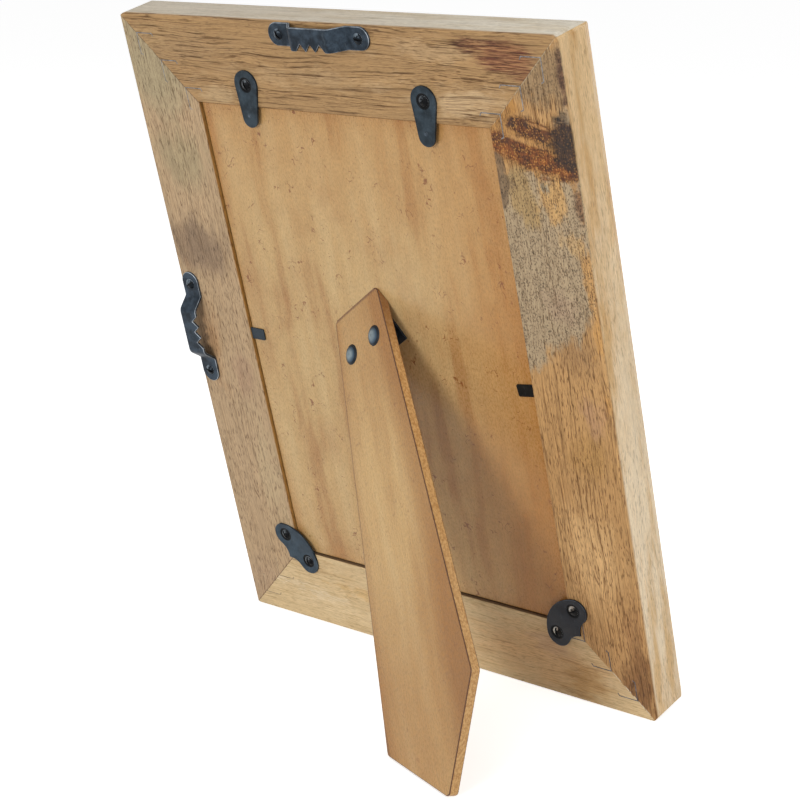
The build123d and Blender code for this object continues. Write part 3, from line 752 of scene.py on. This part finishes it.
def leg_outline(tree, parts):
    """The dark line along the leg's left edge and across its head, and the scuffed right toe."""
    half = leg_half(tree, parts["X"])
    left = rise(tree, plus(tree, half, parts["Y"]), 1.1, 0.4, 0.55)
    head = rise(tree, parts["X"], -1.3, -0.5, 0.75)
    toe = rise(tree, maths(tree, "DIVIDE", parts["Y"], half), 0.2, 0.9, 0.25)
    toe = times(tree, toe, rise(tree, parts["X"], -112, -146))
    return larger(tree, larger(tree, left, head), toe)


def leg_stain(name, **finish):
    """Fibreboard of the leg, in mm from its head, the foot at minus, and across it."""
    scorch = (-34, 0)
    place = (leg_head, up_leg, along_hinge)
    return pressed_fibre(name, *place, scorch=scorch, warmth=leg_warmth, outline=leg_outline, **finish)


leg_fibre = leg_stain(
    "leg_fibre",
    ground=(200, 164, 109),
    warm=(160, 112, 58),
    wiped=(160, 112, 58),
    pale=(212, 182, 130),
    sawn=[(172, 126, 74), (206, 164, 108)],
    blotch=0.45,
    bark=0.35,
    brushing=0.13,
)
arris_fibre = leg_stain(
    "leg_arris_fibre",
    ground=(92, 60, 36),
    warm=(76, 46, 26),
    wiped=(76, 46, 26),
    pale=(112, 76, 46),
    sawn=[(92, 60, 36), (120, 82, 50)],
    blotch=0.3,
    bark=0.2,
    brushing=0.06,
)
leg_arrises = (80, 120)
leg_fibres = [leg_fibre, arris_fibre]
eased_copy("easel_leg", "leg", "fibreboard", leg_fibres, leg_ease, eased=leg_arrises, clamp=False)

# Leg hinge and rivets
# A small butt hinge of blackened steel, held to the board by two flush rivets, to the leg by two domed ones.
# The domed heads are blued, with a painted highlight on their crowns and painted shade round their rims.
hinge_ease = 0.08 * mm
hinge_black = black_steel("hinge_steel", (30, 34, 38), (46, 52, 58), 0.5)
for name, body in (
    ("hinge_board_leaf", "frame"),
    ("hinge_leg_leaf", "leg"),
    ("hinge_pin", "frame"),
    ("board_rivets", "frame"),
):
    eased_copy(name, body, "black_steel", [hinge_black], hinge_ease)
rivet_blue, tree = new_material("blued_rivet_steel")
place = flat_place(tree, leg_head, up_leg, along_hinge)
skin = use_group(tree, blackened, {"Place": place, "Deep": tone(112, 126, 132), "Dusty": tone(140, 152, 156)})
square = facing(tree, leg_out)
# Painted highlight where the dome faces straight out, painted shade round its rim.
crown_highlight = mix(tree, rise(tree, square, 0.9, 0.99), tone(60, 76, 90), skin["Color"])
rim_shaded = mix(tree, rise(tree, square, 0.905, 0.86), crown_highlight, tone(26, 32, 38))
surface = {"Base Color": rim_shaded, "Roughness": skin["Roughness"]}
finish_surface(tree, {**surface, "Metallic": 0.6, "Specular IOR Level": 0.3})
eased_copy("leg_rivets", "leg", "rivet_steel", [rivet_blue], hinge_ease)

# Turn buttons
# Two pear-shaped plates stamped from blackened steel, each dished round its screw and dimpled near its tip.
# They swing on slotted wood screws in the top rail, and in the photograph both hang down over the board.
button_spacing = 79 * mm
button_shift = 0.7 * mm
button_heights = {"left": 220.0 * mm, "right": 219.4 * mm}
button_tilt = 5.3
button_eye = 5.1
button_tip = 3.3
button_reach = 12.1
button_thickness = 0.8
dimple_radius = 0.8
dimple_floor = 0.6 * dimple_radius
dimple_reach = 11.0
dimple_depth = 0.3
plate_ease = 0.14 * mm
dish_radius = 2.75
dish_depth = 0.42
hole_radius = 1.4
screw_radius = 1.2
screw_length = 9.0
screw_point = 2.0
head_radius = 2.0
head_height = 0.95
head_sunk = 0.3
slot_width = 0.7
slot_floor = 0.3
screw_ease = 0.1 * mm
screw_rim = (110, 160)
screw_sides = 40
hole_sides = 32
sliver = 0.001
level_gap = 0.0001
button_steel = black_steel("button_steel", (26, 36, 43), (54, 66, 75), 0.5)
# Paler steel on the plates' eased edges and in the dimples: partly wear, partly a painted highlight.
plate_wear_and_highlight = black_steel("plate_wear_and_highlight_steel", (44, 52, 60), (84, 94, 104), 0.7)
# Near-black steel in the dishes, holes and screw slots: painted shade in these recesses.
recess_shade_steel = black_steel("recess_shade_steel", (8, 9, 10), (18, 19, 21), 0.0, gloss=0.08)


def screw_head(name, dark, bright):
    """Steel of a driven screw, with a painted highlight on the upper left of its dome and painted shade on
    the other side.
    """
    material, tree = new_material(name)
    place = back_place(tree)
    rubbed = cloud(tree, place, (0.7, 0.7, 0.7), 4.0, 0.65, (2, 5, 1))
    highlight_facing = facing(tree, back_up - back_right)
    # The lit share is a painted highlight, its edge broken by the rubbed noise.
    lit = rise(tree, plus(tree, highlight_facing, spread(tree, rubbed, -0.7, 0.7)), 0.1, 0.7)
    skin = mix(tree, lit, tone(*dark), tone(*bright))
    surface = {"Base Color": skin, "Roughness": spread(tree, rubbed, 0.5, 0.35)}
    finish_surface(tree, {**surface, "Metallic": 0.7, "Specular IOR Level": 0.2})
    return material


screw_steel = screw_head("screw_steel", (12, 13, 15), (92, 97, 101))
screw_warm = screw_head("screw_bare_steel", (24, 23, 22), (178, 174, 166))
# Pale steel on the screws' eased rims and slot edges: a painted highlight.
screw_rim_highlight = black_steel("screw_rim_highlight_steel", (70, 73, 76), (190, 193, 196), 0.9, 0.1)


def seated(x, y, turn=0.0, height=0.0):
    """Matrix from millimetres on a plate to its seat on the back, turned to the left by degrees."""
    angle = radians(turn)
    right = back_right * cos(angle) + back_up * sin(angle)
    up = back_up * cos(angle) - back_right * sin(angle)
    axes = Matrix((right * mm, up * mm, back_out * mm)).transposed().to_4x4()
    return Matrix.Translation(on_back(x, y, height)) @ axes


def arc(centre, radius, first, last, steps):
    """Points on an arc from one angle to another, in degrees to the left from x."""
    turns = [radians(first + (last - first) * k / steps) for k in range(steps + 1)]
    return [(centre[0] + radius * cos(t), centre[1] + radius * sin(t)) for t in turns]


def picked(geom, kind):
    """The verts, edges or faces among what an operator made."""
    return [item for item in geom if isinstance(item, kind)]


def level_edges(geom, height):
    """The edges that lie flat at a height."""
    edges = picked(geom, bmesh.types.BMEdge)
    return [e for e in edges if all(abs(v.co.z - height) < level_gap for v in e.verts)]


def stamped_plate(outline, holes, thickness):
    """A flat plate with holes. Each has a middle, rim and floor radii, a depth, and goes through or not."""
    bm = bmesh.new()
    corners = [bm.verts.new((x, y, thickness)) for x, y in outline]
    upper = [bm.edges.new(pair) for pair in zip(corners, corners[1:] + corners[:1])]
    wall = bmesh.ops.extrude_edge_only(bm, edges=upper)["geom"]
    for vert in picked(wall, bmesh.types.BMVert):
        vert.co.z = 0.0
    lower = level_edges(wall, 0.0)
    for centre, rim_radius, floor_radius, depth, through in holes:
        middle = Matrix.Translation((*centre, thickness))
        ring = bmesh.ops.create_circle(bm, segments=hole_sides, radius=rim_radius, matrix=middle)["verts"]
        edges = list({e for v in ring for e in v.link_edges})
        upper += edges
        dish = bmesh.ops.extrude_edge_only(bm, edges=edges)["geom"]
        for vert in picked(dish, bmesh.types.BMVert):
            vert.co.x = centre[0] + (vert.co.x - centre[0]) * floor_radius / rim_radius
            vert.co.y = centre[1] + (vert.co.y - centre[1]) * floor_radius / rim_radius
            vert.co.z = thickness - depth
        for face in picked(dish, bmesh.types.BMFace):
            face.material_index = 1 if through else 2
        floor = level_edges(dish, thickness - depth)
        if through:
            bore = bmesh.ops.extrude_edge_only(bm, edges=floor)["geom"]
            for vert in picked(bore, bmesh.types.BMVert):
                vert.co.z = 0.0
            lower += level_edges(bore, 0.0)
        else:
            bmesh.ops.contextual_create(bm, geom=floor)
    bmesh.ops.triangle_fill(bm, use_beauty=True, edges=upper, normal=(0, 0, 1))
    bmesh.ops.triangle_fill(bm, use_beauty=True, edges=lower, normal=(0, 0, -1))
    bmesh.ops.recalc_face_normals(bm, faces=bm.faces)
    return bm


def slotted_screw(bm, matrix, slot_turn, skin=0, slot=1):
    """Adds one wood screw with a low domed head, a sawn slot and a pointed shank, seated by matrix."""
    dome_steps = 8
    ball = (head_radius**2 + head_height**2) / (2 * head_height)
    half_dome = asin(head_radius / ball)
    tilts = [half_dome * k / dome_steps for k in range(dome_steps + 1)]
    profile = [(ball * sin(tilt), head_height - ball + ball * cos(tilt)) for tilt in tilts]
    profile += [(screw_radius, 0.0), (screw_radius, screw_point - screw_length), (0.0, -screw_length)]

    def in_slot(face):
        aside = slot_width / 2 + sliver
        return all(abs(v.co.x) < aside and v.co.z > slot_floor - sliver for v in face.verts)

    part = bmesh.new()
    points = [part.verts.new((x, 0, z)) for x, z in profile]
    geom = points + [part.edges.new(pair) for pair in zip(points, points[1:])]
    bmesh.ops.spin(
        part, geom=geom, cent=(0, 0, 0), axis=(0, 0, 1), angle=2 * pi, steps=screw_sides, use_merge=True
    )
    bmesh.ops.remove_doubles(part, verts=part.verts, dist=sliver / 2)
    for cut, normal in (
        ((slot_width / 2, 0, 0), (1, 0, 0)),
        ((-slot_width / 2, 0, 0), (1, 0, 0)),
        ((0, 0, slot_floor), (0, 0, 1)),
    ):
        geom = list(part.verts) + list(part.edges) + list(part.faces)
        bmesh.ops.bisect_plane(part, geom=geom, dist=level_gap, plane_co=cut, plane_no=normal)
    sawn = [f for f in part.faces if in_slot(f)]
    sunk = bmesh.ops.extrude_face_region(part, geom=sawn)["geom"]
    bmesh.ops.delete(part, geom=sawn, context="FACES")
    for vert in picked(sunk, bmesh.types.BMVert):
        vert.co.z = slot_floor
    bmesh.ops.remove_doubles(part, verts=part.verts, dist=sliver / 2)
    bmesh.ops.dissolve_degenerate(part, dist=sliver / 2, edges=part.edges)
    bmesh.ops.recalc_face_normals(part, faces=part.faces)
    for face in part.faces:
        face.material_index = slot if in_slot(face) else skin
    part.transform(matrix @ Matrix.Rotation(radians(slot_turn), 4, "Z"))
    loose = bpy.data.meshes.new("screw")
    part.to_mesh(loose)
    part.free()
    bm.from_mesh(loose)
    bpy.data.meshes.remove(loose)


def drive_screws(name, bm, heads):
    """Sets a node's screws in place: their heads' steels, near-black slots of painted shade and rims with a
    painted highlight.
    """
    steels = [*heads, recess_shade_steel, screw_rim_highlight]
    set_in_place(name + "_slotted", name, bm, "frame", "black_steel", steels, screw_ease, eased=screw_rim)


slant = asin((button_eye - button_tip) / button_reach) * 180 / pi
pear = arc((0, 0), button_eye, -slant, 180 + slant, 30)
pear += arc((0, -button_reach), button_tip, 180 + slant, 360 - slant, 20)
button_holes = [
    ((0, 0), dish_radius, hole_radius, dish_depth, True),
    ((0, -dimple_reach), dimple_radius, dimple_floor, dimple_depth, False),
]
button_steels = [button_steel, recess_shade_steel, plate_wear_and_highlight]
button_screws = bmesh.new()
for side, sign, slot_turn in (("left", -1, 20), ("right", 1, 118)):
    x = button_shift + sign * button_spacing / 2
    y = button_heights[side]
    bm = stamped_plate(pear, button_holes, button_thickness)
    bm.transform(seated(x, y, -button_tilt))
    name = "turn_button_" + side
    set_in_place(name + "_stamped", name, bm, side + "_button", "black_steel", button_steels, plate_ease)
    slotted_screw(button_screws, seated(x, y, 0, (button_thickness - head_sunk) * mm), slot_turn)
drive_screws("turn_button_screws", button_screws, [screw_steel])

# Corner plates
# Two kidney-shaped stampings screwed over the lower corners of the board, their points lying on the mitres.
# They are the same blackened steel as the buttons. Each was put on by eye, so they sit a little differently.
plate_thickness = 0.8
plate_span = 14.4
plate_screw_span = 13.6
plate_screw_set_in = 0.8
plate_lobe = 4.7
plate_bulge = 15.1
plate_point = 6.6
plate_scallop = 6.5
plate_up = 32.2 * mm
plate_turn = 135
right_plate_askew = 6
half_span = plate_span / 2
bulge_gap = plate_bulge - plate_lobe
bulge_up = sqrt(bulge_gap**2 - half_span**2)
bulge_turn = acos(half_span / bulge_gap) * 180 / pi
scallop_gap = plate_scallop + plate_lobe
lobe_to_point = hypot(half_span, plate_point)
along = (scallop_gap**2 - plate_scallop**2 + lobe_to_point**2) / (2 * lobe_to_point)
aside = sqrt(scallop_gap**2 - along**2)
scallop_x = half_span + (aside * plate_point - along * half_span) / lobe_to_point
scallop_y = (along * plate_point + aside * half_span) / lobe_to_point
scallop_turn = acos((scallop_x - half_span) / scallop_gap) * 180 / pi
point_turn = acos(scallop_x / plate_scallop) * 180 / pi
half_kidney = arc((half_span, 0), plate_lobe, -bulge_turn, scallop_turn, 24)[1:]
half_kidney += arc((scallop_x, scallop_y), plate_scallop, 180 + scallop_turn, 180 + point_turn, 8)[1:]
kidney = arc((0, bulge_up), plate_bulge, 180 + bulge_turn, 360 - bulge_turn, 28) + half_kidney
kidney += [(-x, y) for x, y in reversed(half_kidney[:-1])]
plate_holes = [(end * plate_screw_span / 2, -plate_screw_set_in) for end in (-1, 1)]
dishes = [(middle, dish_radius, hole_radius, dish_depth, True) for middle in plate_holes]
plate_screws = bmesh.new()
blue_plate = black_steel("blue_plate_steel", (38, 51, 62), (58, 73, 85), 0.5)
black_plate = black_steel("black_plate_steel", (31, 33, 38), (45, 48, 54), 0.4)
for side, x, turn, steel, skin, slot_turns in (
    ("left", -65.3 * mm, plate_turn, blue_plate, 0, (55, 75)),
    ("right", 63.8 * mm, right_plate_askew - plate_turn, black_plate, 1, (71, 139)),
):
    bm = stamped_plate(kidney, dishes, plate_thickness)
    seat = seated(x, plate_up, turn)
    bm.transform(seat)
    name = "corner_plate_" + side
    steels = [steel, recess_shade_steel, plate_wear_and_highlight]
    set_in_place(name + "_stamped", name, bm, "frame", "black_steel", steels, plate_ease)
    for hole, slot_turn in zip(plate_holes, slot_turns):
        lifted = seat @ Matrix.Translation((*hole, plate_thickness - head_sunk))
        slotted_screw(plate_screws, lifted, slot_turn, skin, slot=2)
drive_screws("corner_plate_screws", plate_screws, [screw_steel, screw_warm])

# Sawtooth hangers
# A strip of blackened steel bent up into a bridge between two screwed ears, one edge toothed for the nail.
# The top one hangs the frame upright and the side one across. Their bent edges and teeth are paler: partly
# rubbed bright, partly a painted highlight.
hanger_ease = 0.18 * mm
hanger_thickness = 0.9
hanger_hole_reach = 17.65 * mm
side_slot_turn = 40
hanger_steel = black_steel("hanger_steel", (24, 32, 40), (60, 72, 84), 0.6)
# Paler steel on the hangers' eased edges: partly rubbed bright, partly a painted highlight.
hanger_wear_and_highlight = black_steel("hanger_wear_and_highlight_steel", (66, 74, 82), (168, 175, 182), 0.85)
screw_blue = screw_head("screw_blue_steel", (20, 26, 32), (112, 124, 134))
eased_copy("top_hanger", "frame", "black_steel", [hanger_steel, hanger_wear_and_highlight], hanger_ease)
eased_copy("side_hanger", "frame", "black_steel", [hanger_steel, hanger_wear_and_highlight], hanger_ease)
hanger_screws = bmesh.new()
top_middle = (-0.3 * mm, frame_height - 4.2 * mm)
side_middle = (5.3 * mm - half_width, frame_height / 2 + 0.8 * mm)
for end, slot_turn in ((-1, 35), (1, 80)):
    x = top_middle[0] + end * hanger_hole_reach
    slotted_screw(hanger_screws, seated(x, top_middle[1], 0, hanger_thickness * mm), slot_turn)
    y = side_middle[1] + end * hanger_hole_reach
    seat = seated(side_middle[0], y, 0, hanger_thickness * mm)
    slotted_screw(hanger_screws, seat, slot_turn + side_slot_turn)
drive_screws("hanger_screws", hanger_screws, [screw_blue])

# Floor, lights and camera
# A pale studio floor under soft lamps: one left of the camera, weaker ones to the right, above and in front.
# Floor and sky are lifted to white only where they are seen, so they light the frame less than they show.
floor_reach = 12.0
bm = bmesh.new()
bmesh.ops.create_grid(bm, x_segments=1, y_segments=1, size=floor_reach)
floor_mesh = bpy.data.meshes.new("studio_floor")
bm.to_mesh(floor_mesh)
bm.free()
floor = bpy.data.objects.new("studio_floor", floor_mesh)
bpy.context.scene.collection.objects.link(floor)
pale = (0.88, 0.88, 0.88, 1)
white = (1, 1, 1, 1)
floor_lift = 0.64
sky_light = 0.38


def seen_rays(tree):
    """Rays that show the background: to the camera, in reflections and through glass."""
    rays = node(tree, "LightPath", {}).outputs
    seen = larger(tree, rays["Is Camera Ray"], rays["Is Glossy Ray"])
    return larger(tree, seen, rays["Is Transmission Ray"])


floor_paint, tree = new_material("studio_floor")
matte = node(tree, "BsdfDiffuse", {"Color": pale})
lift = node(tree, "Emission", {"Color": white, "Strength": times(tree, seen_rays(tree), floor_lift)})
both = node(tree, "AddShader", {0: matte.outputs[0], 1: lift.outputs[0]})
node(tree, "OutputMaterial", {"Surface": both.outputs[0]})
floor_mesh.materials.append(floor_paint)

world = bpy.data.worlds.new("studio")
world.use_nodes = True
tree = world.node_tree
tree.nodes.clear()
sky = node(tree, "Background", {"Color": white, "Strength": sky_light})
backdrop = node(tree, "Background", {"Color": white, "Strength": 1.0})
both = node(tree, "MixShader", {0: seen_rays(tree), 1: sky.outputs[0], 2: backdrop.outputs[0]})
node(tree, "OutputWorld", {"Surface": both.outputs[0]})
bpy.context.scene.world = world

middle = on_back(0, frame_height / 2)


def soft_lamp(name, direction, distance, size, watts):
    """A square lamp that faces the middle of the frame from a direction."""
    lamp = bpy.data.lights.new(name, "AREA")
    lamp.shape = "SQUARE"
    lamp.size = size
    lamp.energy = watts
    placed = bpy.data.objects.new(name, lamp)
    towards = direction.normalized()
    placed.location = middle + towards * distance
    placed.rotation_mode = "QUATERNION"
    placed.rotation_quaternion = (-towards).to_track_quat("-Z", "Y")
    bpy.context.scene.collection.objects.link(placed)


soft_lamp("key_lamp", back_right * 0.13 + back_up * 0.42 + back_out, distance=2.2, size=0.68, watts=20.0)
soft_lamp("side_lamp", back_right + back_up * 0.5 + back_out * 0.05, distance=1.3, size=0.6, watts=4.5)
soft_lamp("top_lamp", back_up + back_out * 0.2, distance=1.3, size=0.6, watts=2.7)
soft_lamp("front_lamp", -back_out, distance=1.6, size=0.6, watts=5.0)

camera_place = (-0.47153, 0.55582, 0.28712)
camera_bearing = 221.442
camera_dip = 14.514
camera_roll = -0.906
camera_data = bpy.data.cameras.new("camera")
camera_data.lens = 94.42
camera_data.sensor_width = 36
camera = bpy.data.objects.new("camera", camera_data)
turn = Matrix.Rotation(radians(camera_bearing), 4, "Z") @ Matrix.Rotation(radians(90 - camera_dip), 4, "X")
turn = turn @ Matrix.Rotation(radians(camera_roll), 4, "Z")
camera.matrix_world = Matrix.Translation(camera_place) @ turn
bpy.context.scene.collection.objects.link(camera)
bpy.context.scene.camera = camera
bpy.context.scene.view_settings.view_transform = "Standard"
